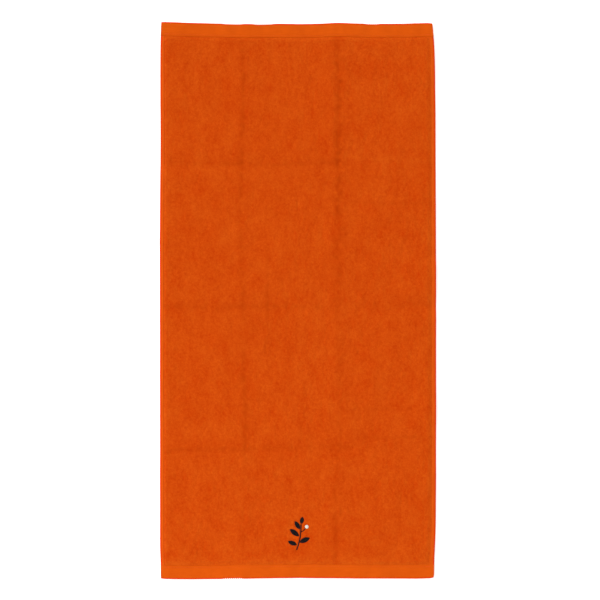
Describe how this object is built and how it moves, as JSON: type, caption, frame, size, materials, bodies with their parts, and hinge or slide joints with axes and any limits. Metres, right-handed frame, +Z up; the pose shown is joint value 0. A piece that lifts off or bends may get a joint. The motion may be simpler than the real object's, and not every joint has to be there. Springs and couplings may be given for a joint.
{
  "type": "quick dry towel",
  "caption": "Orange quick-dry terry towel, hemmed all round, with an embroidered leaf sprig near one end; folds flat along its crosswise creases.",
  "frame": {"origin": "under the middle of the towel laid flat, on the surface it lies on", "axes": "+X across the width, +Y along the length away from the embroidered end, +Z up out of the front face"},
  "size_m": [0.5, 1.005, 0.0048],
  "materials": {
    "terry_pile": "looped microfibre pile",
    "ground_cloth": "plain weave",
    "hem_cloth": "smooth ribbed weave",
    "orange_thread": "polyester sewing thread",
    "black_thread": "satin embroidery thread",
    "white_thread": "satin embroidery thread",
    "backing_fleece": "non-woven fleece",
    "label_tape": "woven satin tape, blank"
  },
  "bodies": {
    "lower_quarter": {"lower_back_pile": "terry_pile", "lower_front_pile": "terry_pile", "lower_ground_weave": "ground_cloth", "lower_left_bobbin_thread": "orange_thread", "lower_left_hem": "hem_cloth", "lower_left_needle_thread": "orange_thread", "lower_right_bobbin_thread": "orange_thread", "lower_right_hem": "hem_cloth", "lower_right_needle_thread": "orange_thread"},
    "upper_quarter": {"upper_back_pile": "terry_pile", "upper_front_pile": "terry_pile", "upper_ground_weave": "ground_cloth", "upper_left_bobbin_thread": "orange_thread", "upper_left_hem": "hem_cloth", "upper_left_needle_thread": "orange_thread", "upper_right_bobbin_thread": "orange_thread", "upper_right_hem": "hem_cloth", "upper_right_needle_thread": "orange_thread"},
    "bottom_quarter": {"bottom_back_pile": "terry_pile", "bottom_end_backtacks": "orange_thread", "bottom_end_bobbin_thread": "orange_thread", "bottom_end_hem": "hem_cloth", "bottom_end_needle_thread": "orange_thread", "bottom_front_pile": "terry_pile", "bottom_ground_weave": "ground_cloth", "bottom_left_bobbin_thread": "orange_thread", "bottom_left_hem": "hem_cloth", "bottom_left_needle_thread": "orange_thread", "bottom_right_bobbin_thread": "orange_thread", "bottom_right_hem": "hem_cloth", "bottom_right_needle_thread": "orange_thread", "label_seam_thread": "orange_thread", "motif_backing": "backing_fleece", "motif_berry": "white_thread", "motif_bobbin_thread": "white_thread", "motif_leaves": "black_thread", "motif_stem": "black_thread", "motif_underlay": "black_thread"},
    "top_quarter": {"top_back_pile": "terry_pile", "top_end_backtacks": "orange_thread", "top_end_bobbin_thread": "orange_thread", "top_end_hem": "hem_cloth", "top_end_needle_thread": "orange_thread", "top_front_pile": "terry_pile", "top_ground_weave": "ground_cloth", "top_left_bobbin_thread": "orange_thread", "top_left_hem": "hem_cloth", "top_left_needle_thread": "orange_thread", "top_right_bobbin_thread": "orange_thread", "top_right_hem": "hem_cloth", "top_right_needle_thread": "orange_thread"},
    "label": {"care_label": "label_tape"}
  },
  "joints": [
    {"name": "half_fold", "type": "hinge", "parent": "lower_quarter", "child": "upper_quarter", "pos_m": [0, -0.01, 0.0132], "axis": [1, 0, 0], "range_deg": [0, 180]},
    {"name": "bottom_fold", "type": "hinge", "parent": "lower_quarter", "child": "bottom_quarter", "pos_m": [0, -0.27, 0.0064], "axis": [-1, 0, 0], "range_deg": [0, 180]},
    {"name": "top_fold", "type": "hinge", "parent": "upper_quarter", "child": "top_quarter", "pos_m": [0, 0.25, 0.0064], "axis": [1, 0, 0], "range_deg": [0, 180]},
    {"name": "label_flap", "type": "hinge", "parent": "bottom_quarter", "child": "label", "pos_m": [0.1975, -0.478, -0.0001], "axis": [-1, 0, 0], "range_deg": [0, 180]}
  ]
}
